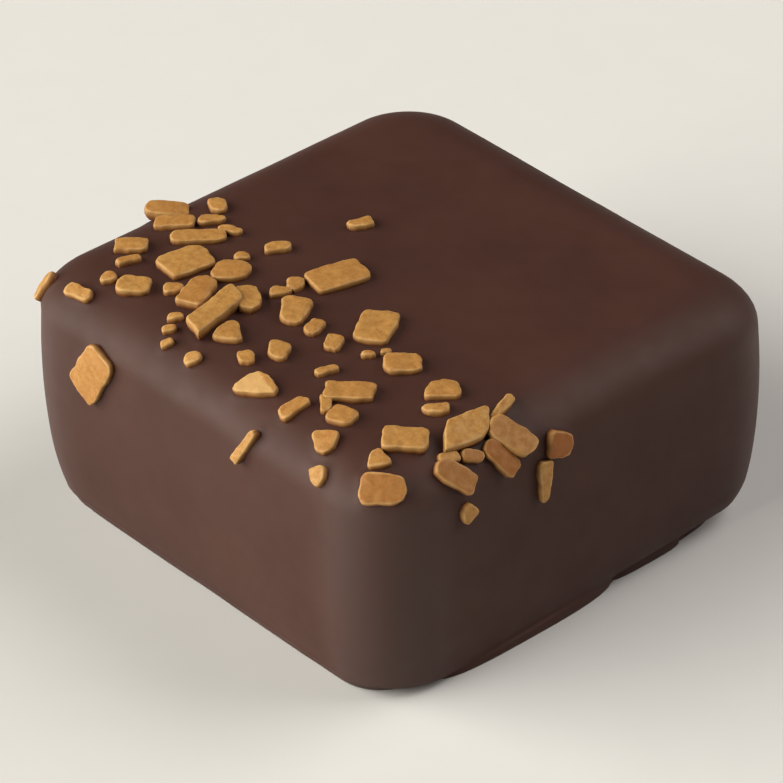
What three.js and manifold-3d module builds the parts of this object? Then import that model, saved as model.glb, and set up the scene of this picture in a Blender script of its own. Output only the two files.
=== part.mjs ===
// A salted caramel candy: a square chocolate in a smooth coat, strewn with broken caramel flakes.
// Millimetres, +Z up. The origin is the middle of the base, +X is the wall with the broken foot
// and -Y the plain wall that comes straight down to the table.
import * as THREE from 'three';
import { mergeVertices } from 'three/addons/utils/BufferGeometryUtils.js';
import Module from 'manifold-3d';

const wasm = await Module();
wasm.setup();

// Driving dimensions of the coat
const halfWidth = 14.46;         // along X, at the widest level
const halfDepth = 14.0;          // along Y
const tall = 13.6;               // from the table to the flat top
const cornerRadius = 3.95;       // upright corners, at the widest level
const cornerShrink = 0.55;       // radius lost for each millimetre that a ring lies further in
const leastCornerRadius = 0.6;
const wallBow = 0.46;            // how far the walls draw in above and below their middle
const wallLean = 0.32;           // how much further in the bottom is than the top
const topRounding = { run: 3.25, drop: 2.25, steps: 6 };
const bottomTuck = { run: 0.5, rise: 3.7 };
const wallLevels = [9.2, 7.0, 4.8, 3.2, 2.0];

// The foot: the walls end in a ledge that climbs towards +Y, and the coat stands on a lobed pad under it
const ledge = 0.85;              // half way along
const padTop = 0.65;
const ledgeClimb = 0.035;        // for each millimetre along Y
const padDepth = { proud: -0.1, deep: 0.75, corner: 1.4 };     // how far behind the ledge the pad stands
const padFade = { from: -14, to: -9 };       // the pad is flush with the -Y wall
const padLobes = {
  right: [{ at: -3.6, half: 6.3, full: 1 }, { at: 5.2, half: 2.6, full: 0.35 }],
  back: [{ at: -5.5, half: 4.4, full: 1 }, { at: 4.6, half: 3.8, full: 0.6 }],
  left: [{ at: -4.4, half: 5.0, full: 0.8 }, { at: 5.6, half: 3.2, full: 1 }],
};

const columns = 104;             // around the coat
const cornerColumns = 0.45;      // share of a side's columns that its two half corners take
const capRings = [0, 0.5];       // rings inside the flat top and the base, as a part of the way out
const finest = 1e4;              // heights are told apart to one part in this of a millimetre

// Caramel flakes: broken plates, each set flat on the coat and sunk into it
const flakeRise = 0.3;           // least height above the coat
const flakeRiseByWidth = 0.04;   // more for each millimetre of width
const flakeSink = 0.5;
const flakeEdge = 0.13;          // worn edge
const flakeWobble = 0.03;        // unevenness of an outline
const flakePhase = { byFlake: 12.9, byPoint: 4.7, drift: 0.1, cycle: 3 };
const roundedFrom = 0.24;        // corners worn this much or more are rounded, not cut straight
const arcDepth = 0.29;           // how near a rounded corner's middle comes to the sharp corner
const longestCut = 0.48;         // most of a side that one worn corner may take

// Outline of each kind: taper narrows the far end, skew slides one long edge along, cuts are the worn
// corners as shares of the shorter way across (near right, far right, far left, near left) and bulge
// swells the sides
const flakeKinds = {
  slab: { taper: 0.04, skew: 0, cuts: [0.1, 0.24, 0.12, 0.1], bulge: 0 },
  gable: { taper: 0, skew: 0, cuts: [0.08, 0.16, 0.3, 0.12], bulge: 0 },
  bar: { taper: 0, skew: 0.65, cuts: [0.24, 0.1, 0.08, 0.2], bulge: 0 },
  block: { taper: 0.06, skew: 0, cuts: [0.2, 0.16, 0.24, 0.14], bulge: 0 },
  kite: { taper: 0, skew: 0.68, cuts: [0.08, 0.24, 0.1, 0.24], bulge: 0 },
  wedge: { taper: 0.42, skew: 0.1, cuts: [0.16, 0.24, 0.3, 0.18], bulge: 0 },
  shard: { taper: 0.75, skew: 0.3, cuts: [0.3, 0.2, 0.2, 0.3], bulge: 0.02 },
  tooth: { taper: 0.6, skew: 0, cuts: [0.16, 0.12, 0.34, 0.18], bulge: 0 },
  lozenge: { taper: -0.1, skew: 0, cuts: [0.2, 0.24, 0.12, 0.16], bulge: 0 },
  dome: { taper: 0.06, skew: 0, cuts: [0.14, 0.5, 0.5, 0.1], bulge: 0 },
  loaf: { taper: 0.06, skew: 0, cuts: [0.14, 0.38, 0.38, 0.12], bulge: 0 },
  bean: { taper: 0.1, skew: 0.05, cuts: [0.36, 0.38, 0.36, 0.4], bulge: 0 },
  stub: { taper: -0.08, skew: 0, cuts: [0.4, 0.18, 0.26, 0.4], bulge: 0 },
  chip: { taper: 0.25, skew: 0.12, cuts: [0.24, 0.36, 0.24, 0.34], bulge: 0 },
  crumb: { taper: 0.1, skew: 0.15, cuts: [0.34, 0.3, 0.38, 0.3], bulge: 0 },
  sliver: { taper: 0.3, skew: 0, cuts: [0.34, 0.44, 0.4, 0.34], bulge: 0 },
};

// Kind, place across and along, length, width, turn in degrees, lift, lean and pitch in degrees.
// A place is measured over the coat from the middle of the top, so past about 11 it is on an edge
// or a wall. Lift raises a flake that lies on others, lean tips it about its length and pitch about
// its width.
const flakes = [
  // on the left of the top and over its edge
  ['chip', -11.05, -2.7, 1.25, 1.15, -38],
  ['chip', -10.2, -3.8, 1.35, 0.9, 45],
  ['slab', -11.35, -5.3, 2.15, 1.25, 45],
  ['stub', -13.1, -4.5, 2.4, 1.1, 49, 0.2, 28, 24],
  ['bean', -9.4, -5.3, 2.9, 1.25, 50],
  ['bean', -8.75, -3.75, 1.35, 0.6, 30],
  ['gable', -8.0, -7.3, 2.7, 2.2, 80],
  ['slab', -11.15, -8.4, 1.8, 1.2, 45],
  ['bean', -10.15, -9.35, 1.35, 0.6, 70],
  ['crumb', -9.65, -11.1, 0.85, 0.75, 60],
  ['block', -8.15, -10.65, 1.75, 1.5, 34],
  ['bean', -10.15, -12.6, 1.75, 0.85, 12],
  ['bean', -14.5, -13.4, 1.7, 1.0, 10],
  ['chip', -17.4, -6.6, 1.6, 1.1, 30],
  ['bean', -16.3, -3.2, 1.9, 1.0, 75],
  ['crumb', -17.2, -8.6, 0.9, 0.7, 0],
  // the heap at the middle left
  ['crumb', -6.45, -4.85, 0.9, 0.65, 49],
  ['bean', -5.8, -6.2, 2.1, 1.95, 45],
  ['stub', -5.35, -8.75, 2.7, 1.45, -66, 0.15],
  ['crumb', -6.55, -9.4, 1.05, 0.95, 49],
  ['wedge', -3.2, -7.45, 2.2, 2.0, -20, 0.1],
  ['bar', -3.3, -9.35, 3.9, 1.4, -76, 0.3],
  ['tooth', -1.6, -9.85, 1.75, 1.8, 130],
  ['crumb', -4.5, -10.9, 0.85, 0.6, 49],
  ['crumb', -4.0, -11.7, 0.8, 0.55, 49],
  ['crumb', -3.4, -12.4, 0.8, 0.6, 60],
  ['crumb', -1.45, -12.3, 0.9, 0.7, 49],
  // across the middle of the top
  ['wedge', -4.7, 1.6, 1.35, 1.05, 244],
  ['chip', -5.85, -3.0, 1.35, 1.05, 49],
  ['slab', -1.7, -2.55, 3.15, 2.15, 76],
  ['bean', -2.6, -4.6, 1.25, 0.95, -50],
  ['chip', -2.6, -5.6, 1.1, 0.9, 45],
  ['wedge', -0.75, -6.25, 2.4, 1.85, -52],
  ['bean', 1.0, -6.45, 1.45, 0.95, -72],
  ['chip', 2.7, -6.7, 1.45, 1.1, -60],
  ['slab', 3.1, -4.25, 2.75, 2.0, -56],
  ['crumb', 5.1, -5.3, 0.58, 0.46, 49],
  ['crumb', 4.7, -6.1, 0.62, 0.46, 40],
  ['block', 6.5, -5.4, 1.95, 1.65, 49],
  ['dome', 9.5, -5.45, 1.6, 1.9, 139],
  ['wedge', 10.5, -6.85, 1.3, 1.1, 230],
  ['chip', 1.4, -9.15, 1.6, 1.25, -50],
  ['chip', 0.75, -10.75, 1.15, 1.05, -35],
  ['bean', 4.35, -8.55, 1.25, 0.65, 72],
  ['slab', 6.55, -8.95, 2.6, 1.55, 42, 0.05],
  ['sliver', 6.5, -10.5, 1.6, 0.75, -45],
  ['block', 7.85, -10.6, 1.55, 1.35, 20],
  // over the front edge and on the -Y wall
  ['shard', 2.98, -11.77, 2.15, 2.1, 8],
  ['bean', 5.5, -11.65, 1.7, 0.95, 82],
  ['wedge', 8.55, -12.3, 1.5, 1.5, -48],
  ['wedge', 9.43, -13.83, 1.05, 1.1, -55],
  ['sliver', 4.35, -14.5, 2.3, 0.6, 66],
  ['lozenge', -7.45, -15.95, 3.6, 2.05, 239],
  // the heap at the right of the top and over its edge
  ['slab', 11.55, -9.75, 2.3, 1.65, 67, 0.05],
  ['tooth', 11.85, -12.0, 1.1, 1.35, 109],
  ['kite', 12.55, -6.8, 2.6, 1.75, 82, 0.2],
  ['sliver', 12.4, -4.3, 2.1, 0.6, -72, 0.1],
  ['bean', 13.8, -4.85, 2.65, 1.6, 28, 0.15],
  ['stub', 14.4, -5.9, 2.25, 1.1, 27],
  ['crumb', 13.8, -7.35, 1.2, 0.75, 60],
  ['crumb', 13.3, -8.55, 1.15, 0.65, 75],
  ['stub', 14.2, -8.75, 2.35, 1.2, 38],
  ['loaf', 13.9, -13.7, 2.35, 1.6, 90],
  // on the +X wall
  ['loaf', 15.22, -2.28, 1.6, 1.5, 68],
  ['tooth', 16.85, -3.4, 2.45, 1.05, -5],
  ['wedge', 16.2, -8.45, 1.15, 1.15, 200],
];

// How far in a wall lies at a height, before the rounding of the top and the tuck of the bottom
function wallInset(height) {
  const fromMiddle = 2 * height / tall - 1;
  return wallBow * fromMiddle * fromMiddle + wallLean * (0.5 - height / tall);
}

function roundingPoint(angle) {
  const height = tall - topRounding.drop * (1 - Math.sin(angle));
  return { inset: wallInset(height) + topRounding.run * (1 - Math.cos(angle)), height };
}

function wallPoint(height) {
  const tucked = Math.max(0, 1 - height / bottomTuck.rise);
  return { inset: wallInset(height) + bottomTuck.run * (1 - Math.sqrt(1 - tucked * tucked)), height };
}

// Half of the coat's section, from the flat top's rim down to the table
function sectionPoints() {
  const points = [];
  for (let step = 0; step <= topRounding.steps; step += 1) {
    points.push(roundingPoint(Math.PI / 2 * (1 - step / topRounding.steps)));
  }
  for (const height of [...wallLevels, ledge, padTop, 0]) {
    points.push(wallPoint(height));
  }
  return points;
}

const section = sectionPoints();
const flatInset = section[0].inset;
const ledgeInset = wallPoint(ledge).inset;
const baseInset = section[section.length - 1].inset;

// A point of the rounded rectangle that lies `inset` in from the widest one.
// across and along give its direction, on the unit square.
function outlinePoint(across, along, inset) {
  const sideways = Math.abs(across) >= Math.abs(along);
  const radius = Math.max(cornerRadius - cornerShrink * inset, leastCornerRadius);
  const out = (sideways ? halfWidth : halfDepth) - inset;
  const beside = (sideways ? halfDepth : halfWidth) - inset;
  const share = sideways ? along : across;
  const straight = 1 - cornerColumns;
  let outward = out;
  let sidelong = share / straight * (beside - radius);
  if (Math.abs(share) > straight) {
    const angle = (Math.abs(share) - straight) / cornerColumns * Math.PI / 4;
    outward = out - radius + radius * Math.cos(angle);
    sidelong = Math.sign(share) * (beside - radius + radius * Math.sin(angle));
  }
  outward *= Math.sign(sideways ? across : along);
  return sideways ? new THREE.Vector2(outward, sidelong) : new THREE.Vector2(sidelong, outward);
}

function padShare(y) {
  return THREE.MathUtils.smoothstep(y, padFade.from, padFade.to);
}

// How far a point of the outline at this inset moves in to stand on the pad's outline
function padInset(point, inset) {
  const sideways = Math.abs(point.x) / halfWidth >= Math.abs(point.y) / halfDepth;
  const place = sideways ? point.y : point.x;
  const leftOrBack = sideways ? padLobes.left : padLobes.back;
  const lobes = sideways && point.x > 0 ? padLobes.right : leftOrBack;
  let fill = 0;
  for (const lobe of lobes) {
    const reach = Math.min(1, Math.abs(place - lobe.at) / lobe.half);
    fill = Math.max(fill, lobe.full * Math.sqrt(1 - reach ** 3));
  }
  const cornerward = THREE.MathUtils.smoothstep(Math.abs(place), halfDepth / 2, halfDepth);
  const deep = THREE.MathUtils.lerp(padDepth.deep, padDepth.corner, cornerward);
  return padShare(point.y) * (ledgeInset - inset + THREE.MathUtils.lerp(deep, padDepth.proud, fill));
}

// The coat is turned round its section as a lathe would, and each ring is then squared
function coatGeometry() {
  const turned = [];
  for (const share of capRings) {
    turned.push(new THREE.Vector2(share * (halfWidth - baseInset), 0));
  }
  for (const { inset, height } of [...section].reverse()) {
    turned.push(new THREE.Vector2(halfWidth - inset, height));
  }
  for (const share of [...capRings].reverse()) {
    turned.push(new THREE.Vector2(share * (halfWidth - flatInset), tall));
  }
  const geometry = new THREE.LatheGeometry(turned, columns);
  geometry.rotateX(Math.PI / 2);
  const place = geometry.attributes.position;
  const rim = { [tall]: flatInset, 0: baseInset };
  for (let index = 0; index < place.count; index += 1) {
    const x = place.getX(index);
    const y = place.getY(index);
    const height = Math.round(place.getZ(index) * finest) / finest;
    const reach = Math.hypot(x, y);
    const capInset = rim[height];
    const inset = capInset ?? halfWidth - reach;
    const shrink = capInset === undefined ? 1 : reach / (halfWidth - capInset);
    const square = Math.max(Math.abs(x), Math.abs(y), Number.EPSILON);
    const outline = outlinePoint(x / square, y / square, inset);
    const pad = height <= padTop ? padInset(outline, inset) : 0;
    const point = outlinePoint(x / square, y / square, inset + pad).multiplyScalar(shrink);
    const climbs = height > 0 && height <= ledge;
    const climb = climbs ? ledgeClimb * point.y * padShare(point.y) : 0;
    place.setXYZ(index, point.x, point.y, height + climb);
  }
  return geometry;
}

// The section as a path over the coat, each point with its distance from the middle of the top
function tracePath() {
  const fineSteps = 48;
  const points = [{ inset: halfWidth, height: tall }];
  for (let step = 0; step <= fineSteps; step += 1) {
    points.push(roundingPoint(Math.PI / 2 * (1 - step / fineSteps)));
  }
  const wallTop = tall - topRounding.drop;
  for (let step = 1; step <= fineSteps; step += 1) {
    points.push(wallPoint(wallTop * (1 - step / fineSteps)));
  }
  let travelled = 0;
  return points.map((point, index) => {
    const last = points[Math.max(0, index - 1)];
    travelled += Math.hypot(point.inset - last.inset, point.height - last.height);
    return { ...point, travelled };
  });
}

const path = tracePath();

// Where a flake sits: the point on the coat, the way out of it, and the two directions along it
function seat(across, along) {
  const onDepth = Math.abs(along) > Math.abs(across);
  const travelled = onDepth ? Math.abs(along) + halfWidth - halfDepth : Math.abs(across);
  const next = Math.max(1, path.findIndex((point) => point.travelled >= travelled));
  const [from, to] = [path[next - 1], path[next]];
  const stretch = to.travelled - from.travelled;
  const inset = THREE.MathUtils.mapLinear(travelled, from.travelled, to.travelled, from.inset, to.inset);
  const height = THREE.MathUtils.mapLinear(travelled, from.travelled, to.travelled, from.height, to.height);
  const run = (from.inset - to.inset) / stretch;
  const fall = (from.height - to.height) / stretch;

  const reach = new THREE.Vector2(halfWidth - inset, halfDepth - inset);
  const radius = Math.max(cornerRadius - cornerShrink * inset, leastCornerRadius);
  const centre = reach.clone().subScalar(radius);
  const point = new THREE.Vector2(
    onDepth ? THREE.MathUtils.clamp(across, -reach.x, reach.x) : Math.sign(across) * reach.x,
    onDepth ? Math.sign(along) * reach.y : THREE.MathUtils.clamp(along, -reach.y, reach.y),
  );
  const outward = onDepth
    ? new THREE.Vector2(0, Math.sign(along))
    : new THREE.Vector2(Math.sign(across), 0);
  const pastX = Math.abs(point.x) - centre.x;
  const pastY = Math.abs(point.y) - centre.y;
  if (inset <= flatInset && pastX > 0 && pastY > 0) {
    outward.set(Math.sign(point.x) * pastX, Math.sign(point.y) * pastY).normalize();
    point.set(Math.sign(point.x) * centre.x, Math.sign(point.y) * centre.y);
    point.addScaledVector(outward, radius);
  }

  const normal = new THREE.Vector3(outward.x * fall, outward.y * fall, run).normalize();
  const acrossWay = onDepth
    ? new THREE.Vector3(-outward.y, outward.x, 0).multiplyScalar(-Math.sign(along))
    : new THREE.Vector3(outward.x * run, outward.y * run, -fall).multiplyScalar(Math.sign(across));
  acrossWay.normalize();
  const alongWay = normal.clone().cross(acrossWay);
  return { point: new THREE.Vector3(point.x, point.y, height), normal, acrossWay, alongWay };
}

// A flake's outline: a four-sided plate with worn corners, each point a little off its place
function flakeOutline(kind, long, wide, number) {
  const { taper, skew, cuts, bulge } = flakeKinds[kind];
  const corners = [[-0.5, -0.5], [0.5, -0.5], [0.5, 0.5], [-0.5, 0.5]].map(
    ([x, y]) => new THREE.Vector2(x * long + skew * y * wide, y * (1 - taper * (x + 0.5)) * wide),
  );
  const points = [];
  corners.forEach((corner, index) => {
    const before = corners[(index + 3) % 4];
    const after = corners[(index + 1) % 4];
    const cutAway = [before, after].map((next) => {
      const side = next.clone().sub(corner);
      const cut = Math.min(cuts[index] * Math.min(long, wide), longestCut * side.length());
      return side.setLength(cut);
    });
    points.push(corner.clone().add(cutAway[0]));
    if (cuts[index] >= roundedFrom) {
      points.push(cutAway[0].clone().add(cutAway[1]).multiplyScalar(arcDepth).add(corner));
    }
    points.push(corner.clone().add(cutAway[1]));
    if (bulge > 0) {
      const side = after.clone().sub(corner);
      const outward = new THREE.Vector2(side.y, -side.x).multiplyScalar(bulge);
      points.push(outward.add(corner).addScaledVector(side, 0.5));
    }
  });
  points.forEach((point, index) => {
    const pace = 1 + flakePhase.drift * (number % flakePhase.cycle);
    const phase = flakePhase.byFlake * number + flakePhase.byPoint * index * pace;
    point.multiplyScalar(1 + flakeWobble * Math.sin(phase));
  });
  return new THREE.Shape(points);
}

// Three rings of the outline: the sunk underside, the shoulder and the top face, which is smaller
function flakeGeometry(row, number) {
  const [kind, across, along, long, wide, turn, lift = 0, lean = 0, pitch = 0] = row;
  const rise = flakeRise + flakeRiseByWidth * Math.min(long, wide) + lift;
  const levels = [-flakeSink, rise - flakeEdge, rise];
  const topLevel = levels.length - 1;
  const geometry = new THREE.ExtrudeGeometry(flakeOutline(kind, long, wide, number), {
    depth: topLevel,
    steps: topLevel,
    bevelEnabled: false,
  });
  const place = geometry.attributes.position;
  for (let index = 0; index < place.count; index += 1) {
    const level = Math.round(place.getZ(index));
    const worn = level === topLevel ? 2 * flakeEdge : 0;
    const x = place.getX(index) * (1 - worn / long);
    const y = place.getY(index) * (1 - worn / wide);
    place.setXYZ(index, x, y, levels[level]);
  }
  geometry.rotateX(THREE.MathUtils.degToRad(lean));
  geometry.rotateY(THREE.MathUtils.degToRad(pitch));
  geometry.rotateZ(THREE.MathUtils.degToRad(turn));
  const { point, normal, acrossWay, alongWay } = seat(across, along);
  const placed = new THREE.Matrix4().makeBasis(acrossWay, alongWay, normal).setPosition(point);
  return geometry.applyMatrix4(placed);
}

function toSolid(geometry) {
  geometry.deleteAttribute('normal');
  geometry.deleteAttribute('uv');
  const merged = mergeVertices(geometry);
  return new wasm.Manifold(new wasm.Mesh({
    numProp: 3,
    vertProperties: new Float32Array(merged.attributes.position.array),
    triVerts: new Uint32Array(merged.index.array),
  }));
}

function toGeometry(solid) {
  const mesh = solid.getMesh();
  const geometry = new THREE.BufferGeometry();
  geometry.setAttribute('position', new THREE.BufferAttribute(mesh.vertProperties, 3));
  geometry.setIndex(new THREE.BufferAttribute(mesh.triVerts, 1));
  geometry.computeVertexNormals();
  return geometry;
}

const chocolate = new THREE.MeshStandardMaterial({ color: 0x4d2f27, roughness: 0.42, metalness: 0 });

let candy = toSolid(coatGeometry());
flakes.forEach((flake, number) => {
  candy = candy.add(toSolid(flakeGeometry(flake, number)));
});

const coatedSquare = new THREE.Mesh(toGeometry(candy), chocolate);
coatedSquare.name = 'coated_square';

const part = new THREE.Group();
part.add(coatedSquare);

export default part;
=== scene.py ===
import math
import random
from bisect import bisect_right

import bmesh
import bpy
from mathutils import Euler, Matrix, Vector, noise
from mathutils.kdtree import KDTree


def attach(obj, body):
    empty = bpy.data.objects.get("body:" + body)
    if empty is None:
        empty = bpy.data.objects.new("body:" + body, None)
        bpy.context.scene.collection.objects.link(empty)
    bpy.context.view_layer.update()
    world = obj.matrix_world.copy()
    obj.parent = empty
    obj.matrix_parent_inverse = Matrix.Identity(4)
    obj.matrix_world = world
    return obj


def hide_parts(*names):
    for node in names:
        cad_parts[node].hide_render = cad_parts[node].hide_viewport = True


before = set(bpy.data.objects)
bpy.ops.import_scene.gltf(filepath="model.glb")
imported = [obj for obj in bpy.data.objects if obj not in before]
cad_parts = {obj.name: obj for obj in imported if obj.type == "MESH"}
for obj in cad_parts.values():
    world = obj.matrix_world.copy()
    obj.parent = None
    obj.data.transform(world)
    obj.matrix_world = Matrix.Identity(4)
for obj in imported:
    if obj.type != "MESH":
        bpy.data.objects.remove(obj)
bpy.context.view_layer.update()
mm = 0.001
tiny = 1e-6

# The coat. Millimetres; the mesh is scaled to metres once it is made.
coat = {
    "halfWidth": 14.46,          # along X, at the widest level
    "halfDepth": 14.0,           # along Y
    "tall": 13.6,
    "cornerRadius": 3.95,        # upright corners, at the widest level
    "cornerShrink": 0.55,        # radius lost for each millimetre further in
    "leastCornerRadius": 0.6,
    "cornerCells": 0.45,         # share of a side's cells that its two half corners take
    "wallBow": 0.46,             # how far the walls draw in above and below their middle
    "wallLean": 0.32,            # how much further in the bottom is than the top
    "roundingRun": 3.25,
    "roundingDrop": 2.25,
    "tuckRun": 0.5,
    "tuckRise": 3.7,
    "cellsAcross": 112,
    "cellsDown": 60,
    "topReach": 12.6,            # how much of the way over the coat the cube's top face covers
    "ripples": [(9.0, 0.035), (3.1, 0.012)],     # size and height of the uneven flow
    "fullRipple": 4.0,           # height from which the walls have all of it
    "baseRipple": (1.6, 0.05),   # size and height of the hollows in the underside
    "baseRim": (2.5, 4.5),       # distances from its edge between which they deepen
    "touching": 0.01,            # points lower than this are part of the underside
}

# The foot: the walls end in a ledge that climbs towards +Y, and the coat stands on a lobed pad under it
foot = {
    "ledge": 0.85,               # half way along
    "padTop": 0.65,
    "climb": 0.035,              # for each millimetre along Y
    "steady": 2.0,               # height from which the walls no longer climb
    "proud": -0.1,               # how far behind the ledge the pad stands, at a full lobe
    "deep": 0.75,                # between lobes
    "corner": 1.4,               # at a corner
    "fadeFrom": -14.0,           # the pad is flush with the -Y wall
    "fadeTo": -9.0,
    "cells": 9,                  # rows of cells from the ledge to the table
    "lipShare": 0.4,             # share of them that the rounded lip takes
    "bulge": 0.04,
    "blunt": 3,                  # how blunt the ends of a lobe are
    "lobes": {                   # middle, half its length, fullness
        "right": [(-3.6, 6.3, 1), (5.2, 2.6, 0.35)],
        "back": [(-5.5, 4.4, 1), (4.6, 3.8, 0.6)],
        "left": [(-4.4, 5.0, 0.8), (5.6, 3.2, 1)],
    },
}


def smoothStep(value, start, end):
    share = min(1.0, max(0.0, (value - start) / (end - start)))
    return share * share * (3 - 2 * share)


def wallInset(height):  # how far in a wall lies at a height, before the roundings
    fromMiddle = 2 * height / coat["tall"] - 1
    return coat["wallBow"] * fromMiddle ** 2 + coat["wallLean"] * (0.5 - height / coat["tall"])


def roundingPoint(angle):
    height = coat["tall"] - coat["roundingDrop"] * (1 - math.sin(angle))
    return wallInset(height) + coat["roundingRun"] * (1 - math.cos(angle)), height


def wallPoint(height):
    tucked = max(0.0, 1 - height / coat["tuckRise"])
    return wallInset(height) + coat["tuckRun"] * (1 - math.sqrt(1 - tucked ** 2)), height


def tracePath(steps=96):  # distance from the middle of the top, inset and height, down to the table
    points = [(coat["halfWidth"], coat["tall"])]
    points += [roundingPoint(math.pi / 2 * (1 - step / steps)) for step in range(steps + 1)]
    wallTop = coat["tall"] - coat["roundingDrop"]
    points += [wallPoint(wallTop * (1 - step / steps)) for step in range(1, steps + 1)]
    traced = [(0.0, *points[0])]
    for (lastInset, lastHeight), (inset, height) in zip(points, points[1:]):
        step = math.hypot(inset - lastInset, height - lastHeight)
        traced.append((traced[-1][0] + step, inset, height))
    return traced


path = tracePath()
pathReach = [point[0] for point in path]
flatInset = path[1][1]
flatReach = coat["halfWidth"] - flatInset


def pathPoint(travelled):  # inset and height, then how fast it runs out and falls
    last = min(max(bisect_right(pathReach, travelled), 1), len(path) - 1)
    (fromReach, fromInset, fromHeight), (toReach, toInset, toHeight) = path[last - 1], path[last]
    stretch = toReach - fromReach
    share = (travelled - fromReach) / stretch
    inset = fromInset + (toInset - fromInset) * share
    height = fromHeight + (toHeight - fromHeight) * share
    return inset, height, (fromInset - toInset) / stretch, (fromHeight - toHeight) / stretch


def travelTo(height):  # the distance over the coat at which a wall reaches a height
    for (fromReach, _, fromHeight), (toReach, _, toHeight) in zip(path, path[1:]):
        if toHeight <= height < fromHeight:
            return fromReach + (toReach - fromReach) * (fromHeight - height) / (fromHeight - toHeight)
    return pathReach[-1]


def cornerAt(inset):
    return max(coat["cornerRadius"] - coat["cornerShrink"] * inset, coat["leastCornerRadius"])


def outlinePoint(across, along, inset):  # a point of the rounded rectangle, from one on the unit square
    sideways = abs(across) >= abs(along)
    radius = cornerAt(inset)
    out = (coat["halfWidth"] if sideways else coat["halfDepth"]) - inset
    beside = (coat["halfDepth"] if sideways else coat["halfWidth"]) - inset
    share = along if sideways else across
    straight = 1 - coat["cornerCells"]
    outward = out
    sidelong = share / straight * (beside - radius)
    if abs(share) > straight:
        angle = (abs(share) - straight) / coat["cornerCells"] * math.pi / 4
        outward = out - radius + radius * math.cos(angle)
        sidelong = math.copysign(beside - radius + radius * math.sin(angle), share)
    outward = math.copysign(outward, across if sideways else along)
    return (outward, sidelong) if sideways else (sidelong, outward)


def padShare(y):
    return smoothStep(y, foot["fadeFrom"], foot["fadeTo"])


def padDepth(x, y):  # how far behind the ledge the pad stands at a point of the outline
    sideways = abs(x) / coat["halfWidth"] >= abs(y) / coat["halfDepth"]
    place = y if sideways else x
    side = ("right" if x > 0 else "left") if sideways else "back"
    fill = 0.0
    for middle, half, full in foot["lobes"][side]:
        reach = min(1.0, abs(place - middle) / half)
        fill = max(fill, full * math.sqrt(1 - reach ** foot["blunt"]))
    cornerward = smoothStep(abs(place), coat["halfDepth"] / 2, coat["halfDepth"])
    deep = foot["deep"] + (foot["corner"] - foot["deep"]) * cornerward
    return deep + (foot["proud"] - deep) * fill


def climbed(x, y, height):  # the ledge climbs along Y, and the walls just above it follow
    if height < foot["padTop"]:
        share = height / foot["padTop"]
    else:
        share = min(1.0, max(0.0, (foot["steady"] - height) / (foot["steady"] - foot["ledge"])))
    return Vector((x, y, height + foot["climb"] * y * padShare(y) * share))


def footPoint(across, along, share):  # from the ledge, round the lip and down the pad to the table
    ledgeInset = wallPoint(foot["ledge"])[0]
    ledgeX, ledgeY = outlinePoint(across, along, ledgeInset)
    behind = ledgeInset + padDepth(ledgeX, ledgeY)
    onPad = padShare(ledgeY)
    down = max(0.0, (share - foot["lipShare"]) / (1 - foot["lipShare"]))
    height = foot["padTop"] * (1 - down)
    ownInset = wallPoint(height)[0]
    inset = ownInset + onPad * (behind - ownInset - foot["bulge"] * math.sin(math.pi * down))
    if share < foot["lipShare"]:
        angle = share / foot["lipShare"] * math.pi / 2
        height = foot["ledge"] - (foot["ledge"] - foot["padTop"]) * math.sin(angle)
        inset = ledgeInset + (inset - ledgeInset) * (1 - math.cos(angle))
    return climbed(*outlinePoint(across, along, inset), height)


def coatPoint(corner, ledgeTravel):  # where a point of the cube goes
    ring = max(abs(corner.x), abs(corner.y))
    across, along = (corner.x / ring, corner.y / ring) if ring else (0, 0)
    footShare = foot["cells"] / coat["cellsDown"]
    if corner.z > 1 - tiny:
        travelled = ring * coat["topReach"]
        if travelled <= flatReach:
            x, y = outlinePoint(across, along, flatInset)
            return Vector((x, y, 0)) * (travelled / flatReach) + Vector((0, 0, coat["tall"]))
        inset, height = pathPoint(travelled)[:2]
        return Vector((*outlinePoint(across, along, inset), height))
    if corner.z < -1 + tiny:
        return footPoint(across, along, 1.0) * ring
    down = (1 - corner.z) / 2
    if down > 1 - footShare:
        return footPoint(across, along, (down - 1 + footShare) / footShare)
    travelled = coat["topReach"] + (ledgeTravel - coat["topReach"]) * down / (1 - footShare)
    inset, height = pathPoint(travelled)[:2]
    return climbed(*outlinePoint(across, along, inset), height)


def ripple(place, size):
    return noise.noise(place / size)


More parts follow.
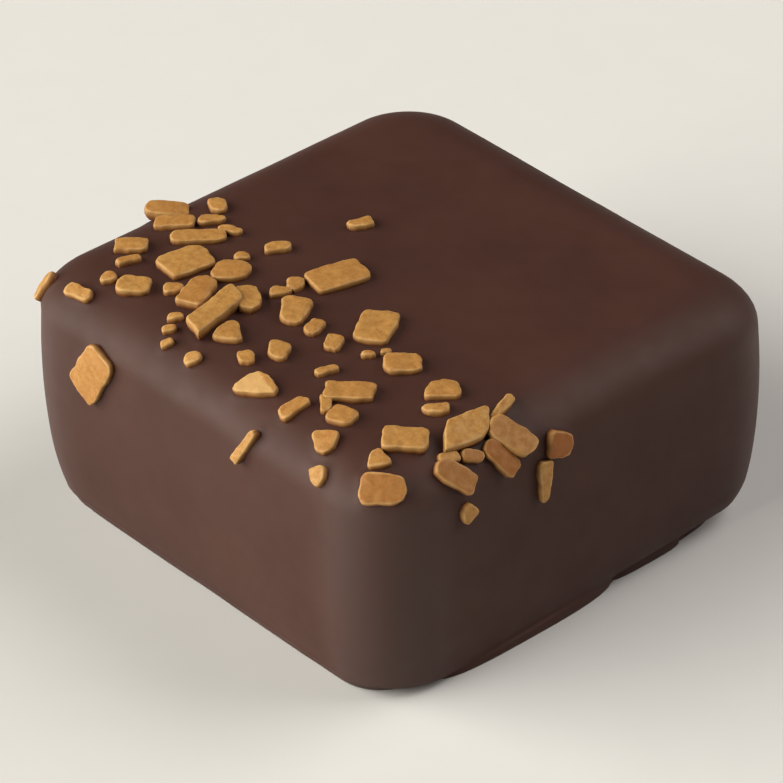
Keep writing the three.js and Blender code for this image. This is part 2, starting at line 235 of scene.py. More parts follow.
# Caramel flakes: broken plates, each set flat on the coat and sunk into it
flakes = {
    "rise": 0.3,                 # least height above the coat
    "riseByWidth": 0.04,         # more for each millimetre of width
    "sink": 0.35,
    "wobble": 0.03,              # unevenness of an outline
    "phase": {"byFlake": 12.9, "byPoint": 4.7, "drift": 0.1, "cycle": 3},     # how that changes
    "roundedFrom": 0.24,         # corners worn this much or more are rounded, not cut straight
    "arcDepth": 0.29,            # how near a rounded corner's middle comes to the sharp corner
    "longestCut": 0.48,          # most of a side that one worn corner may take
    "roundedCorner": 22,         # per cent of each side that a corner's rounding takes
    "edge": 0.11,                # worn edge of the top face
    "edgeShare": 0.22,           # most of a flake's lesser size that it takes
    "edgeTurn": 0.3,             # share of it at which the edge turns
    "faceRings": (0.3, 0.7),     # rings of points between it and the middle of the face
    "crown": 0.03,               # how far the middle of the top face stands up
    "chipEvery": 0.24,           # longest step along a broken outline
    "chips": [(0.75, 0.1), (0.33, 0.07)],                     # size and depth of the bites out of it
    "chipShift": (5, 3),         # how the bites move on with a flake's length and width
    "grain": [(1.1, 0.06), (0.42, 0.034), (0.17, 0.012)],     # size and depth of the broken surface
    "grainShift": (7.3, 3.1, 1.7),                            # how the grain moves on, flake by flake
    "kinds": {                   # taper, skew, the four worn corners, bulge
        "slab": (0.04, 0.0, (0.1, 0.24, 0.12, 0.1), 0.0),
        "gable": (0.0, 0.0, (0.08, 0.16, 0.3, 0.12), 0.0),
        "bar": (0.0, 0.65, (0.24, 0.1, 0.08, 0.2), 0.0),
        "block": (0.06, 0.0, (0.2, 0.16, 0.24, 0.14), 0.0),
        "kite": (0.0, 0.68, (0.08, 0.24, 0.1, 0.24), 0.0),
        "wedge": (0.42, 0.1, (0.16, 0.24, 0.3, 0.18), 0.0),
        "shard": (0.75, 0.3, (0.3, 0.2, 0.2, 0.3), 0.02),
        "tooth": (0.6, 0.0, (0.16, 0.12, 0.34, 0.18), 0.0),
        "lozenge": (-0.1, 0.0, (0.2, 0.24, 0.12, 0.16), 0.0),
        "dome": (0.06, 0.0, (0.14, 0.5, 0.5, 0.1), 0.0),
        "loaf": (0.06, 0.0, (0.14, 0.38, 0.38, 0.12), 0.0),
        "bean": (0.1, 0.05, (0.36, 0.38, 0.36, 0.4), 0.0),
        "stub": (-0.08, 0.0, (0.4, 0.18, 0.26, 0.4), 0.0),
        "chip": (0.25, 0.12, (0.24, 0.36, 0.24, 0.34), 0.0),
        "crumb": (0.1, 0.15, (0.34, 0.3, 0.38, 0.3), 0.0),
        "sliver": (0.3, 0.0, (0.34, 0.44, 0.4, 0.34), 0.0),
    },
}

# Kind, place across and along, length, width, turn in degrees, lift, lean and pitch in degrees.
# A place is measured over the coat from the middle of the top.
flakeRows = [
    # on the left of the top and over its edge
    ("chip", -11.05, -2.7, 1.25, 1.15, -38),
    ("chip", -10.2, -3.8, 1.35, 0.9, 45),
    ("slab", -11.35, -5.3, 2.15, 1.25, 45),
    ("stub", -13.1, -4.5, 2.4, 1.1, 49, 0.2, 28, 24),
    ("bean", -9.4, -5.3, 2.9, 1.25, 50),
    ("bean", -8.75, -3.75, 1.35, 0.6, 30),
    ("gable", -8.0, -7.3, 2.7, 2.2, 80),
    ("slab", -11.15, -8.4, 1.8, 1.2, 45),
    ("bean", -10.15, -9.35, 1.35, 0.6, 70),
    ("crumb", -9.65, -11.1, 0.85, 0.75, 60),
    ("block", -8.15, -10.65, 1.75, 1.5, 34),
    ("bean", -10.15, -12.6, 1.75, 0.85, 12),
    ("bean", -14.5, -13.4, 1.7, 1.0, 10),
    ("chip", -17.4, -6.6, 1.6, 1.1, 30),
    ("bean", -16.3, -3.2, 1.9, 1.0, 75),
    ("crumb", -17.2, -8.6, 0.9, 0.7, 0),
    # the heap at the middle left
    ("crumb", -6.45, -4.85, 0.9, 0.65, 49),
    ("bean", -5.8, -6.2, 2.1, 1.95, 45),
    ("stub", -5.35, -8.75, 2.7, 1.45, -66, 0.15),
    ("crumb", -6.55, -9.4, 1.05, 0.95, 49),
    ("wedge", -3.2, -7.45, 2.2, 2.0, -20, 0.1),
    ("bar", -3.3, -9.35, 3.9, 1.4, -76, 0.3),
    ("tooth", -1.6, -9.85, 1.75, 1.8, 130),
    ("crumb", -4.5, -10.9, 0.85, 0.6, 49),
    ("crumb", -4.0, -11.7, 0.8, 0.55, 49),
    ("crumb", -3.4, -12.4, 0.8, 0.6, 60),
    ("crumb", -1.45, -12.3, 0.9, 0.7, 49),
    # across the middle of the top
    ("wedge", -4.7, 1.6, 1.35, 1.05, 244),
    ("chip", -5.85, -3.0, 1.35, 1.05, 49),
    ("slab", -1.7, -2.55, 3.15, 2.15, 76),
    ("bean", -2.6, -4.6, 1.25, 0.95, -50),
    ("chip", -2.6, -5.6, 1.1, 0.9, 45),
    ("wedge", -0.75, -6.25, 2.4, 1.85, -52),
    ("bean", 1.0, -6.45, 1.45, 0.95, -72),
    ("chip", 2.7, -6.7, 1.45, 1.1, -60),
    ("slab", 3.1, -4.25, 2.75, 2.0, -56),
    ("crumb", 5.1, -5.3, 0.58, 0.46, 49),
    ("crumb", 4.7, -6.1, 0.62, 0.46, 40),
    ("block", 6.5, -5.4, 1.95, 1.65, 49),
    ("dome", 9.5, -5.45, 1.6, 1.9, 139),
    ("wedge", 10.5, -6.85, 1.3, 1.1, 230),
    ("chip", 1.4, -9.15, 1.6, 1.25, -50),
    ("chip", 0.75, -10.75, 1.15, 1.05, -35),
    ("bean", 4.35, -8.55, 1.25, 0.65, 72),
    ("slab", 6.55, -8.95, 2.6, 1.55, 42, 0.05),
    ("sliver", 6.5, -10.5, 1.6, 0.75, -45),
    ("block", 7.85, -10.6, 1.55, 1.35, 20),
    # over the front edge and on the -Y wall
    ("shard", 2.98, -11.77, 2.15, 2.1, 8),
    ("bean", 5.5, -11.65, 1.7, 0.95, 82),
    ("wedge", 8.55, -12.3, 1.5, 1.5, -48),
    ("wedge", 9.43, -13.83, 1.05, 1.1, -55),
    ("sliver", 4.35, -14.5, 2.3, 0.6, 66),
    ("lozenge", -7.45, -15.95, 3.6, 2.05, 239),
    # the heap at the right of the top and over its edge
    ("slab", 11.55, -9.75, 2.3, 1.65, 67, 0.05),
    ("tooth", 11.85, -12.0, 1.1, 1.35, 109),
    ("kite", 12.55, -6.8, 2.6, 1.75, 82, 0.2),
    ("sliver", 12.4, -4.3, 2.1, 0.6, -72, 0.1),
    ("bean", 13.8, -4.85, 2.65, 1.6, 28, 0.15),
    ("stub", 14.4, -5.9, 2.25, 1.1, 27),
    ("crumb", 13.8, -7.35, 1.2, 0.75, 60),
    ("crumb", 13.3, -8.55, 1.15, 0.65, 75),
    ("stub", 14.2, -8.75, 2.35, 1.2, 38),
    ("loaf", 13.9, -13.7, 2.35, 1.6, 90),
    # on the +X wall
    ("loaf", 15.22, -2.28, 1.6, 1.5, 68),
    ("tooth", 16.85, -3.4, 2.45, 1.05, -5),
    ("wedge", 16.2, -8.45, 1.15, 1.15, 200),
]


def seat(across, along):  # a frame on the coat: its axes run across, along and out of the surface
    onDepth = abs(along) > abs(across)
    travelled = abs(along) + coat["halfWidth"] - coat["halfDepth"] if onDepth else abs(across)
    inset, height, run, fall = pathPoint(travelled)
    radius = cornerAt(inset)
    reach = Vector((coat["halfWidth"] - inset, coat["halfDepth"] - inset))
    centre = reach - Vector((radius, radius))
    if onDepth:
        point = Vector((min(max(across, -reach.x), reach.x), math.copysign(reach.y, along)))
        outward = Vector((0, math.copysign(1, along)))
    else:
        point = Vector((math.copysign(reach.x, across), min(max(along, -reach.y), reach.y)))
        outward = Vector((math.copysign(1, across), 0))
    past = Vector((abs(point.x), abs(point.y))) - centre
    if inset <= flatInset and past.x > 0 and past.y > 0:
        signs = Vector((math.copysign(1, point.x), math.copysign(1, point.y)))
        outward = (past * signs).normalized()
        point = centre * signs + outward * radius
    normal = Vector((outward.x * fall, outward.y * fall, run)).normalized()
    if onDepth:
        acrossWay = Vector((-outward.y, outward.x, 0)) * -math.copysign(1, along)
    else:
        acrossWay = Vector((outward.x * run, outward.y * run, -fall)) * math.copysign(1, across)
        acrossWay.normalize()
    alongWay = normal.cross(acrossWay)
    axes = Matrix((acrossWay, alongWay, normal)).transposed().to_4x4()
    return Matrix.Translation((point.x, point.y, height)) @ axes


def flakeOutline(kind, long, wide, number):  # a four-sided plate with worn corners
    taper, skew, cuts, bulge = flakes["kinds"][kind]
    corners = [Vector((x * long + skew * y * wide, y * (1 - taper * (x + 0.5)) * wide))
               for x, y in ((-0.5, -0.5), (0.5, -0.5), (0.5, 0.5), (-0.5, 0.5))]
    points = []
    for index, corner in enumerate(corners):
        after = corners[(index + 1) % 4]
        cutAway = []
        for beside in (corners[index - 1], after):
            side = beside - corner
            cut = min(cuts[index] * min(long, wide), flakes["longestCut"] * side.length)
            cutAway.append(side.normalized() * cut)
        points.append(corner + cutAway[0])
        if cuts[index] >= flakes["roundedFrom"]:
            points.append(corner + (cutAway[0] + cutAway[1]) * flakes["arcDepth"])
        points.append(corner + cutAway[1])
        if bulge:
            side = after - corner
            points.append(corner + side / 2 + Vector((side.y, -side.x)) * bulge)
    phase = flakes["phase"]
    pace = 1 + phase["drift"] * (number % phase["cycle"])
    outline = []
    for index, point in enumerate(points):
        turn = phase["byFlake"] * number + phase["byPoint"] * index * pace
        outline.append(point * (1 + flakes["wobble"] * math.sin(turn)))
    return outline


def placeFlake(number, row):  # outline, height above the coat and the flake's own frame
    kind, across, along, long, wide, turn, lift, lean, pitch = (*row, 0, 0, 0)[:9]
    rise = flakes["rise"] + flakes["riseByWidth"] * min(long, wide) + lift
    tilt = Euler((math.radians(lean), math.radians(pitch), math.radians(turn))).to_matrix().to_4x4()
    outline = flakeOutline(kind, long, wide, number)
    return {"outline": outline, "long": long, "wide": wide, "rise": rise,
            "span": max(point.length for point in outline), "place": seat(across, along) @ tilt}


placedFlakes = [placeFlake(number, row) for number, row in enumerate(flakeRows)]


def outside(point, outline):  # how far a point lies outside an outline; negative inside it
    nearest = math.inf
    inside = True
    for index, start in enumerate(outline):
        end = outline[(index + 1) % len(outline)]
        side = end - start
        share = min(1.0, max(0.0, (point - start).dot(side) / side.length_squared))
        nearest = min(nearest, (point - start - side * share).length)
        if side.cross(point - start) < 0:
            inside = False
    return -nearest if inside else nearest


# Chocolate drawn up round each flake while it was soft
meniscus = {
    "height": 0.05,
    "width": 0.2,
    "steepness": 1.5,
    "reach": 0.6,                # how far from a flake the chocolate is looked at
    "level": (0.25, 0.6),        # distances above or below the flake's plane between which it fades
}


def drawUp(shell):
    tree = KDTree(len(shell.verts))
    for index, vert in enumerate(shell.verts):
        tree.insert(vert.co, index)
    tree.balance()
    shell.verts.ensure_lookup_table()
    shell.normal_update()
    raised = {}
    for flake in placedFlakes:
        back = flake["place"].inverted()
        near = tree.find_range(flake["place"].translation, flake["span"] + meniscus["reach"])
        for _, index, _ in near:
            local = back @ shell.verts[index].co
            away = max(0.0, outside(local.to_2d(), flake["outline"]))
            rise = meniscus["height"] * math.exp(-(away / meniscus["width"]) ** meniscus["steepness"])
            rise *= 1 - smoothStep(abs(local.z), *meniscus["level"])
            raised[index] = max(raised.get(index, 0), rise)
    for index, rise in raised.items():
        vert = shell.verts[index]
        vert.co += vert.normal * rise


def refineNearFlakes(shell):  # a second set of cuts where the chocolate meets the flakes
    tree = KDTree(len(placedFlakes))
    for index, flake in enumerate(placedFlakes):
        tree.insert(flake["place"].translation, index)
    tree.balance()
    beyond = meniscus["reach"] / 2
    farthest = max(flake["span"] for flake in placedFlakes) + beyond
    edges = set()
    for face in shell.faces:
        near = tree.find_range(face.calc_center_median(), farthest)
        if any(away < placedFlakes[index]["span"] + beyond for _, index, away in near):
            edges.update(face.edges)
    bmesh.ops.subdivide_edges(shell, edges=list(edges), cuts=1, use_grid_fill=True)


def finishMesh(name, shell, material):
    bmesh.ops.scale(shell, vec=(mm, mm, mm), verts=shell.verts)
    bmesh.ops.recalc_face_normals(shell, faces=shell.faces)
    mesh = bpy.data.meshes.new(name)
    shell.to_mesh(mesh)
    shell.free()
    mesh.shade_smooth()
    mesh.materials.append(material)
    piece = bpy.data.objects.new(name, mesh)
    bpy.context.scene.collection.objects.link(piece)
    return piece


# Where a highlight is painted on the coat's upright corners, measured from where an upright corner
# begins to turn
cornerHighlightSpan = {
    "from": -2.0,                # still on the wall
    "to": 1.6,
    "fade": 3.0,                 # near the corner's middle
    "middle": 0.85,              # how much of the painted highlight the middle of a corner keeps
    "top": 0.5,                  # how far below the top it starts
}


def paintedCornerHighlightShare(point):  # share of painted highlight: 0 on the walls and the top, 1 on an upright corner, a bit less on its middle
    pastX = abs(point.x) - coat["halfWidth"] + coat["cornerRadius"]
    pastY = abs(point.y) - coat["halfDepth"] + coat["cornerRadius"]
    past = min(pastX, pastY)
    level = smoothStep(coat["tall"] - point.z, cornerHighlightSpan["top"], coat["roundingDrop"])
    fade = (1 - cornerHighlightSpan["middle"]) * smoothStep(past, cornerHighlightSpan["to"], cornerHighlightSpan["fade"])
    return level * smoothStep(past, cornerHighlightSpan["from"], cornerHighlightSpan["to"]) * (1 - fade)


def edgeDrop(edge):
    return abs(edge.verts[0].co.z - edge.verts[1].co.z)


def makeCoat(material):
    shell = bmesh.new()
    bmesh.ops.create_cube(shell, size=2)
    upright = [edge for edge in shell.edges if edgeDrop(edge) > tiny]
    bmesh.ops.subdivide_edges(shell, edges=upright, cuts=coat["cellsDown"] - 1, use_grid_fill=True)
    level = [edge for edge in shell.edges if edgeDrop(edge) < tiny]
    bmesh.ops.subdivide_edges(shell, edges=level, cuts=coat["cellsAcross"] - 1, use_grid_fill=True)
    ledgeTravel = travelTo(foot["ledge"])
    for vert in shell.verts:
        vert.co = coatPoint(vert.co, ledgeTravel)
    shell.normal_update()
    moves = []
    for vert in shell.verts:
        above = smoothStep(vert.co.z, foot["ledge"], coat["fullRipple"])
        push = above * sum(depth * ripple(vert.co, size) for size, depth in coat["ripples"])
        moves.append(vert.normal * push)
    for vert, move in zip(shell.verts, moves):
        vert.co += move
    size, depth = coat["baseRipple"]
    for vert in shell.verts:
        if vert.co.z < coat["touching"]:
            fromEdge = coat["halfDepth"] - max(abs(vert.co.x), abs(vert.co.y))
            inward = smoothStep(fromEdge, *coat["baseRim"])
            vert.co.z += depth * inward * (0.5 + 0.5 * ripple(vert.co, size))
    refineNearFlakes(shell)
    drawUp(shell)
    # the share of painted highlight on the upright corners, kept as an attribute
    paintedCornerHighlight = shell.verts.layers.float.new("paintedCornerHighlight")
    for vert in shell.verts:
        vert[paintedCornerHighlight] = paintedCornerHighlightShare(vert.co)
    print("coat:", len(shell.verts), "points")
    return finishMesh("chocolate_coat", shell, material)


def cutFlake(outline, rise, long, wide):  # one flake, lying on the XY plane with its underside sunk
    plate = bmesh.new()
    corners = [plate.verts.new((point.x, point.y, -flakes["sink"])) for point in outline]
    plate.faces.new(corners)
    bmesh.ops.bevel(plate, geom=plate.verts[:], offset=flakes["roundedCorner"], offset_type="PERCENT",
                    segments=2, profile=0.5, affect="VERTICES", material=-1)
    for side in plate.edges[:]:
        cuts = int(side.calc_length() / flakes["chipEvery"])
        if cuts:
            bmesh.ops.subdivide_edges(plate, edges=[side], cuts=cuts)
    byLength, byWidth = flakes["chipShift"]
    for vert in plate.verts:
        spot = vert.co + Vector((0, 0, byLength * long + byWidth * wide))
        bite = sum(depth * ripple(spot, size) for size, depth in flakes["chips"])
        vert.co += Vector((vert.co.x, vert.co.y, 0)).normalized() * bite
    edge = min(flakes["edge"], flakes["edgeShare"] * min(long, wide))
    turn = flakes["edgeTurn"] * edge
    half = 0.5 * min(long, wide) - edge
    levels = [(rise - edge, 0), (rise - turn, turn), (rise, edge)]
    levels += [(rise, edge + share * half) for share in flakes["faceRings"]]
    upper = plate.faces[:]
    height, inward = -flakes["sink"], 0
    for nextHeight, nextInward in levels:
        raised = bmesh.ops.extrude_face_region(plate, geom=upper)["geom"]
        if inward or height > -flakes["sink"]:
            bmesh.ops.delete(plate, geom=upper, context="FACES_ONLY")
        upper = [part for part in raised if isinstance(part, bmesh.types.BMFace)]
        points = [part for part in raised if isinstance(part, bmesh.types.BMVert)]
        bmesh.ops.translate(plate, vec=(0, 0, nextHeight - height), verts=points)
        narrower = [(size - 2 * nextInward) / (size - 2 * inward) for size in (long, wide)]
        bmesh.ops.scale(plate, vec=(*narrower, 1), verts=points)
        height, inward = nextHeight, nextInward
    bmesh.ops.recalc_face_normals(plate, faces=plate.faces)
    return plate


caramel = {
    "seed": 11,
    "toneSpread": 0.25,          # how unlike each other the flakes are
    "toneAndPaintedShade": {                 # by row from 0: painted shade, browner than the others, or painted light, paler where negative
        3: 0.15, 18: 0.15, 21: -0.2, 55: -0.2, 57: 0.15, 58: 0.45, 59: 0.4, 61: 0.4, 62: 0.2, 63: 0.6,
    },
    "shadedFlankFade": (0.35, 0.9),    # how level the surface is where the painted shade of a side gives way to the top's colour
    "rimFade": (0.03, 0.13),     # where the painted highlight along the edge of a flake's face fades
}


def soften(plate):  # the flake as a mesh with its sharp edges rounded
    mesh = bpy.data.meshes.new("plate")
    plate.to_mesh(mesh)
    plate.free()
    holder = bpy.data.objects.new("plate", mesh)
    bpy.context.scene.collection.objects.link(holder)
    smooth = holder.modifiers.new("soft edges", "SUBSURF")
    smooth.levels = smooth.render_levels = 1
    evaluated = holder.evaluated_get(bpy.context.evaluated_depsgraph_get())
    soft = bpy.data.meshes.new_from_object(evaluated)
    bpy.data.objects.remove(holder)
    bpy.data.meshes.remove(mesh)
    return soft


def makeFlakes(material):
    heap = bmesh.new()
    toneWithShade = heap.verts.layers.float.new("toneWithShade")
    proud = heap.verts.layers.float.new("proud")
    rim = heap.verts.layers.float.new("rim")
    shadedFlank = heap.verts.layers.float.new("shadedFlank")
    draw = random.Random(caramel["seed"])
    for number, flake in enumerate(placedFlakes):
        soft = soften(cutFlake(flake["outline"], flake["rise"], flake["long"], flake["wide"]))
        start = len(heap.verts)
        heap.from_mesh(soft)
        bpy.data.meshes.remove(soft)
        heap.verts.ensure_lookup_table()
        heap.normal_update()
        added = heap.verts[start:]
        # a random tone, plus painted shade or painted light for the rows listed in the caramel table
        flakeToneWithShade = caramel["toneSpread"] * draw.random() + caramel["toneAndPaintedShade"].get(number, 0)
        shift = Vector([number * step for step in flakes["grainShift"]])
        moves = []
        for vert in added:
            up = vert.normal.z
            vert[toneWithShade] = flakeToneWithShade
            vert[proud] = min(1.0, max(0.0, vert.co.z / flake["rise"]))
            inward = -outside(vert.co.to_2d(), flake["outline"])
            # painted highlight along the edge of the face
            vert[rim] = 1 - smoothStep(inward, *caramel["rimFade"])
            # share of painted shade on the sides
            vert[shadedFlank] = 1 - smoothStep(up, *caramel["shadedFlankFade"])
            push = sum(depth * ripple(vert.co + shift, size) for size, depth in flakes["grain"])
            crown = flakes["crown"] * (1 - (vert.co.to_2d().length / flake["span"]) ** 2)
            moves.append(vert.normal * push + Vector((0, 0, crown * max(0.0, up))))
        for vert, move in zip(added, moves):
            vert.co += move
        bmesh.ops.transform(heap, matrix=flake["place"], verts=added)
    print("flakes:", len(placedFlakes), "of", len(heap.faces), "faces in all")
    return finishMesh("caramel_flakes", heap, material)


def newMaterial(name):
    material = bpy.data.materials.new(name)
    material.use_nodes = True
    nodes = material.node_tree.nodes
    return material, nodes, material.node_tree.links, nodes["Principled BSDF"]


def addNoise(nodes, links, coords, size, detail=3.0, rough=0.5):
    made = nodes.new("ShaderNodeTexNoise")
    made.inputs["Scale"].default_value = 1 / (size * mm)
    made.inputs["Detail"].default_value = detail
    made.inputs["Roughness"].default_value = rough
    links.new(coords, made.inputs["Vector"])
    return made.outputs["Fac"]


def addRange(nodes, links, value, fromLow, fromHigh, toLow, toHigh):
    made = nodes.new("ShaderNodeMapRange")
    made.inputs["From Min"].default_value = fromLow
    made.inputs["From Max"].default_value = fromHigh
    made.inputs["To Min"].default_value = toLow
    made.inputs["To Max"].default_value = toHigh
    links.new(value, made.inputs["Value"])
    return made.outputs["Result"]


def addMix(nodes, links, factor, first, second):
    made = nodes.new("ShaderNodeMix")
    made.data_type = "RGBA"
    for socket, colour in ((made.inputs[6], first), (made.inputs[7], second)):
        if isinstance(colour, tuple):
            socket.default_value = (*colour, 1)
        else:
            links.new(colour, socket)
    links.new(factor, made.inputs[0])
    return made.outputs[2]


def addAttribute(nodes, name):
    made = nodes.new("ShaderNodeAttribute")
    made.attribute_name = name
    return made.outputs["Fac"]


def addWeakened(nodes, links, name, most):  # an attribute that counts for no more than this share
    return addRange(nodes, links, addAttribute(nodes, name), 0, 1, 0, most)


def addBump(nodes, links, height, depth, before=None):
    made = nodes.new("ShaderNodeBump")
    made.inputs["Distance"].default_value = depth * mm
    links.new(height, made.inputs["Height"])
    if before is not None:
        links.new(before, made.inputs["Normal"])
    return made.outputs["Normal"]


satin = {
    "deep": (0.041, 0.0149, 0.0100),
    "pale": (0.049, 0.0183, 0.0123),
    "paintedCornerHighlight": (0.055, 0.029, 0.0240),         # painted highlight on the upright corners, paler and greyer than the rest
    "cloud": (5.0, 4),                        # size and detail
    "cloudRange": (0.35, 0.65),
    "smear": (1.7, 5, 0.6),                   # size, detail and unevenness
    "smearRange": (0.3, 0.7),
    "roughness": (0.54, 0.64),                # least and most, by the smears
    "swell": (0.9, 3),                        # slow unevenness
    "swellDepth": 0.006,
    "fine": (0.11, 2),                        # fine unevenness
    "fineDepth": 0.0016,
    "refraction": 1.45,
    "gloss": 0.25,
}


def satinChocolate():
    material, nodes, links, shader = newMaterial("satin chocolate")
    coords = nodes.new("ShaderNodeTexCoord").outputs["Object"]
    cloud = addNoise(nodes, links, coords, *satin["cloud"])
    cloudiness = addRange(nodes, links, cloud, *satin["cloudRange"], 0, 1)
    clouded = addMix(nodes, links, cloudiness, satin["deep"], satin["pale"])
    # painted highlight: the upright corners take a paler, greyer colour
    colour = addMix(nodes, links, addAttribute(nodes, "paintedCornerHighlight"), clouded, satin["paintedCornerHighlight"])
    links.new(colour, shader.inputs["Base Color"])
    smear = addNoise(nodes, links, coords, *satin["smear"])
    roughness = addRange(nodes, links, smear, *satin["smearRange"], *satin["roughness"])
    links.new(roughness, shader.inputs["Roughness"])
    swell = addBump(nodes, links, addNoise(nodes, links, coords, *satin["swell"]), satin["swellDepth"])
    fine = addNoise(nodes, links, coords, *satin["fine"])
    links.new(addBump(nodes, links, fine, satin["fineDepth"], swell), shader.inputs["Normal"])
    shader.inputs["IOR"].default_value = satin["refraction"]
    shader.inputs["Specular IOR Level"].default_value = satin["gloss"]
    return material


golden = {
    "light": (0.382, 0.200, 0.053),
    "dark": (0.272, 0.115, 0.0195),
    # the browner tone, reached partly at random and partly as painted shade
    "toneAndPaintedShade": (0.215, 0.056, 0.006),
    "shadedFlank": (0.245, 0.110, 0.023),           # painted shade on the broken sides, darker than the top
    "paintedContactShade": (0.13, 0.036, 0.006),          # painted shade low on the sides, where a flake meets the chocolate
    "rim": (0.54, 0.34, 0.14),                # painted highlight along the edge of the face
    "shadedFlankShare": 0.7,
    "rimShare": 0.5,
    "contactShadeShare": 0.95,
    "contactShadeFade": (0.2, 0.7),                  # shares of a flake's height between which the painted shade fades
    "blotch": (0.4, 4, 0.6),                  # size, detail and unevenness
    "grain": (0.1, 3, 0.6),
    "grainWeight": 0.4,                       # how much the grain adds to the blotches
    "blotchRange": (0.55, 0.95),
    "dullRange": (0.3, 0.7),
    "roughness": (0.55, 0.72),                # least and most, by the blotches
    "lumps": (0.28, 3),
    "lumpDepth": 0.016,
    "grainDepth": 0.005,
    "refraction": 1.45,
    "gloss": 0.35,
}


def brokenCaramel():
    material, nodes, links, shader = newMaterial("broken caramel")
    coords = nodes.new("ShaderNodeTexCoord").outputs["Object"]
    blotch = addNoise(nodes, links, coords, *golden["blotch"])
    grain = addNoise(nodes, links, coords, *golden["grain"])
    mixed = nodes.new("ShaderNodeMath")
    mixed.operation = "MULTIPLY_ADD"
    links.new(grain, mixed.inputs[0])
    mixed.inputs[1].default_value = golden["grainWeight"]
    links.new(blotch, mixed.inputs[2])
    mottling = addRange(nodes, links, mixed.outputs[0], *golden["blotchRange"], 0, 1)
    mottled = addMix(nodes, links, mottling, golden["light"], golden["dark"])
    # the random tone, with the painted shade or painted light of the listed flakes
    face = addMix(nodes, links, addAttribute(nodes, "toneWithShade"), mottled, golden["toneAndPaintedShade"])
    # painted highlight along the edge of the face
    rim = addWeakened(nodes, links, "rim", golden["rimShare"])
    edgeLitFace = addMix(nodes, links, rim, face, golden["rim"])
    # painted shade on the sides
    shadedFlank = addWeakened(nodes, links, "shadedFlank", golden["shadedFlankShare"])
    broken = addMix(nodes, links, shadedFlank, edgeLitFace, golden["shadedFlank"])
    proud = addAttribute(nodes, "proud")
    # painted shade near the chocolate, fading with height
    contactShade = addRange(nodes, links, proud, *golden["contactShadeFade"], golden["contactShadeShare"], 0)
    links.new(addMix(nodes, links, contactShade, broken, golden["paintedContactShade"]), shader.inputs["Base Color"])
    roughness = addRange(nodes, links, blotch, *golden["dullRange"], *golden["roughness"])
    links.new(roughness, shader.inputs["Roughness"])
    lumps = addBump(nodes, links, addNoise(nodes, links, coords, *golden["lumps"]), golden["lumpDepth"])
    links.new(addBump(nodes, links, grain, golden["grainDepth"], lumps), shader.inputs["Normal"])
    shader.inputs["IOR"].default_value = golden["refraction"]
    shader.inputs["Specular IOR Level"].default_value = golden["gloss"]
    return material


chocolateCoat = makeCoat(satinChocolate())
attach(chocolateCoat, "root")
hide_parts("coated_square")

caramelFlakes = makeFlakes(brokenCaramel())
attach(caramelFlakes, "root")
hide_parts("coated_square")


# The photo's view, and where in the picture its axis falls
camera = {
    "azimuth": 48.81,            # degrees from looking along +Y
    "elevation": 34.26,
    "roll": -0.97,
    "distance": 263.9,           # to the middle of the candy's height
    "focalPixels": 5108.2,
    "pictureSize": 783,
    "centrePixel": (399.36, 384.94),
    "sensor": 36.0,
    "nearest": 0.01,             # metres
}


def makeCamera():
    azimuth, elevation, roll = (math.radians(camera[key]) for key in ("azimuth", "elevation", "roll"))
    back = Vector((math.sin(azimuth) * math.cos(elevation),
                   -math.cos(azimuth) * math.cos(elevation), math.sin(elevation)))
    right = Vector((math.cos(azimuth), math.sin(azimuth), 0))
    up = back.cross(right)
    rolledRight = right * math.cos(roll) + up * math.sin(roll)
    rolledUp = up * math.cos(roll) - right * math.sin(roll)
    data = bpy.data.cameras.new("camera")
    size = camera["pictureSize"]
    data.sensor_width = camera["sensor"]
    data.lens = camera["focalPixels"] * camera["sensor"] / size
    data.shift_x = (size / 2 - camera["centrePixel"][0]) / size
    data.shift_y = (camera["centrePixel"][1] - size / 2) / size
    data.clip_start = camera["nearest"]
    made = bpy.data.objects.new("camera", data)
    bpy.context.scene.collection.objects.link(made)
    aim = Vector((0, 0, coat["tall"] / 2 * mm))
    turned = Matrix((rolledRight, rolledUp, back)).transposed().to_4x4()
    made.matrix_world = Matrix.Translation(aim + back * camera["distance"] * mm) @ turned
    bpy.context.scene.camera = made


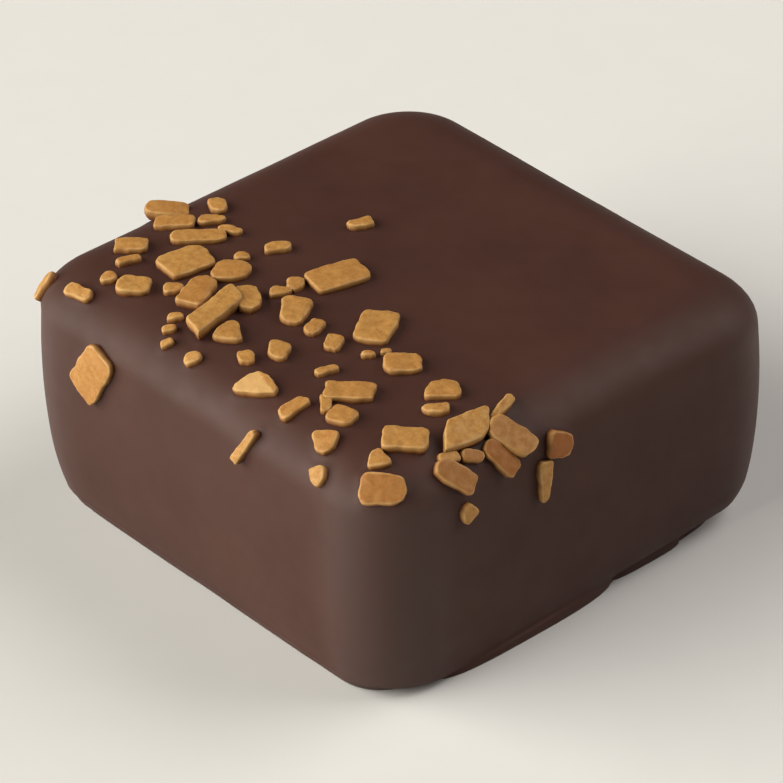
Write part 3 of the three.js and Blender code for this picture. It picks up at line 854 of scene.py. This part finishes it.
# Soft studio light: azimuth and elevation of each lamp's place, seen from the candy.
# Distances and sizes are in metres and powers in watts.
lamps = {
    "key": {"azimuth": -30, "elevation": 16, "distance": 0.8, "size": 1.1, "power": 28.5,
            "colour": (1, 0.975, 0.89)},
    "back": {"azimuth": 152, "elevation": 45, "distance": 0.8, "size": 0.6, "power": 5.2,
             "colour": (1, 0.955, 0.905)},
    "side": {"azimuth": 127, "elevation": 14, "distance": 0.8, "size": 0.6, "power": 0.7,
             "colour": (1, 0.955, 0.905)},
}
worldLight = {"colour": (1, 0.97, 0.93), "strength": 0.03}


def makeLamp(name, azimuth, elevation, distance, size, power, colour):
    data = bpy.data.lights.new(name, "AREA")
    data.shape = "SQUARE"
    data.size = size
    data.energy = power
    data.color = colour
    turn, rise = math.radians(azimuth), math.radians(elevation)
    out = Vector((math.sin(turn) * math.cos(rise), -math.cos(turn) * math.cos(rise), math.sin(rise)))
    made = bpy.data.objects.new(name, data)
    made.location = out * distance
    made.rotation_mode = "QUATERNION"
    made.rotation_quaternion = out.to_track_quat("Z", "Y")
    bpy.context.scene.collection.objects.link(made)


def makeWorld():
    world = bpy.data.worlds.new("studio")
    world.use_nodes = True
    background = world.node_tree.nodes["Background"]
    background.inputs["Color"].default_value = (*worldLight["colour"], 1)
    background.inputs["Strength"].default_value = worldLight["strength"]
    bpy.context.scene.world = world


paper = {
    "dark": (0.58, 0.571, 0.56),
    "light": (0.6, 0.591, 0.58),
    "mottle": (3.0, 4),          # size and detail
    "roughness": 0.55,
    "halfSize": 2500.0,
    "cells": 8,
}


def makeFloor():
    material, nodes, links, shader = newMaterial("pale paper")
    coords = nodes.new("ShaderNodeTexCoord").outputs["Object"]
    mottle = addNoise(nodes, links, coords, *paper["mottle"])
    links.new(addMix(nodes, links, mottle, paper["dark"], paper["light"]), shader.inputs["Base Color"])
    shader.inputs["Roughness"].default_value = paper["roughness"]
    sheet = bmesh.new()
    bmesh.ops.create_grid(sheet, x_segments=paper["cells"], y_segments=paper["cells"],
                          size=paper["halfSize"])
    floor = finishMesh("studio_floor", sheet, material)


makeCamera()
for name, lamp in lamps.items():
    makeLamp(name, **lamp)
makeWorld()
makeFloor()
bpy.context.scene.view_settings.view_transform = "Standard"
print("studio: floor, lamps and camera")
